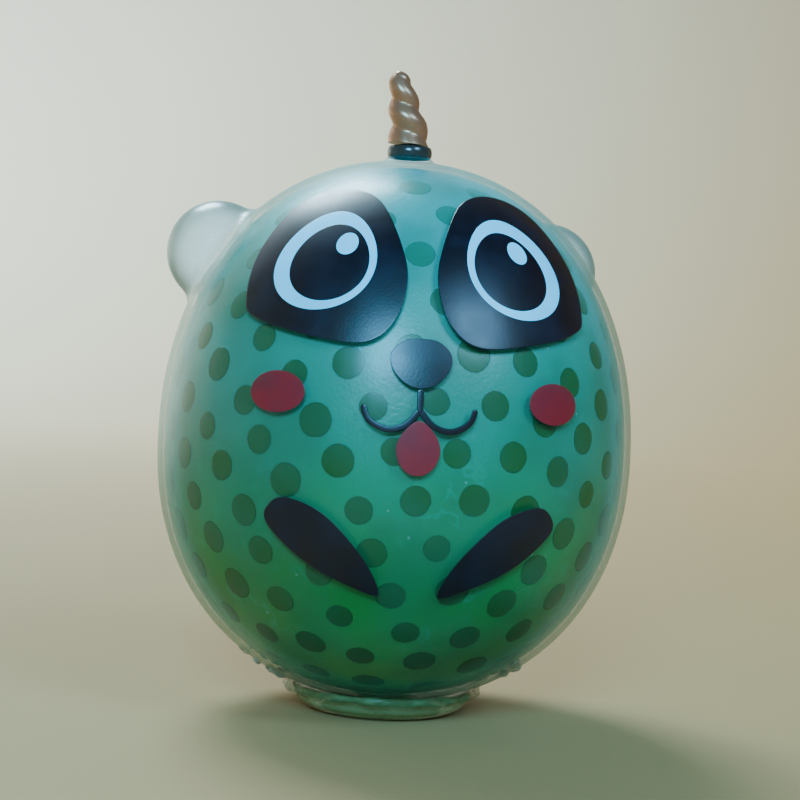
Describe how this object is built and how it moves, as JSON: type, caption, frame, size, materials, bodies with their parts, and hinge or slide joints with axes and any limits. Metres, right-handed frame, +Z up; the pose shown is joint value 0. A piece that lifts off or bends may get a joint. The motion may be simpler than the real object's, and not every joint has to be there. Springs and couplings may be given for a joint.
{
  "type": "stress ball",
  "caption": "Egg-shaped clear rubber squeeze ball with a dotted green gel bladder, printed animal face, hollow ears and a spiral horn.",
  "frame": {"origin": "centre of the flat underside of the base pad", "axes": "+Z up through the horn, the printed face looks along -Y, +X to the viewer's right"},
  "size_m": [0.0701, 0.0705, 0.0947],
  "materials": {
    "clear_rubber": "clear, milky, glossy soft rubber",
    "green_rubber": "smooth green rubber with darker round dots",
    "gel": "soft green gel",
    "plug_rubber": "pale translucent rubber",
    "clear_glue": "clear dried glue",
    "collar_dark": "dark glossy lacquer",
    "horn_gold": "bronze-gold metallic paint on soft plastic",
    "ink_black": "blue-black pad-printed ink",
    "ink_pale": "pale blue pad-printed ink",
    "ink_red": "red pad-printed ink"
  },
  "bodies": {
    "ball": {"outer_skin": "clear_rubber", "inner_bladder": "green_rubber", "gel_fill": "gel", "neck_grommet": "plug_rubber", "fill_stopper": "plug_rubber", "base_pad": "clear_rubber", "glue_ring": "clear_glue", "eye_patch_left": "ink_black", "eye_patch_right": "ink_black", "pupil_left": "ink_black", "pupil_right": "ink_black", "nose": "ink_black", "mouth_line": "ink_black", "arm_left": "ink_black", "arm_right": "ink_black", "eye_ring_left": "ink_pale", "eye_ring_right": "ink_pale", "eye_glint_left": "ink_pale", "eye_glint_right": "ink_pale", "tongue": "ink_red", "cheek_left": "ink_red", "cheek_right": "ink_red"},
    "crown": {"horn_collar": "collar_dark"},
    "horn": {"horn": "horn_gold"}
  },
  "joints": [
    {"name": "squeeze", "type": "slide", "parent": "ball", "child": "crown", "axis": [0, 0, -1], "range_m": [0, 0.0196], "stiffness_N_per_m": 1500, "deforming": ["outer_skin", "inner_bladder", "gel_fill", "eye_patch_left", "eye_patch_right", "pupil_left", "pupil_right", "nose", "mouth_line", "arm_left", "arm_right", "eye_ring_left", "eye_ring_right", "eye_glint_left", "eye_glint_right", "tongue", "cheek_left", "cheek_right"]},
    {"name": "horn_bend", "type": "hinge", "parent": "crown", "child": "horn", "pos_m": [0, 0, 0.0846], "axis": [0, -1, 0], "range_deg": [-12, 12], "stiffness_Nm_per_rad": 0.02}
  ]
}
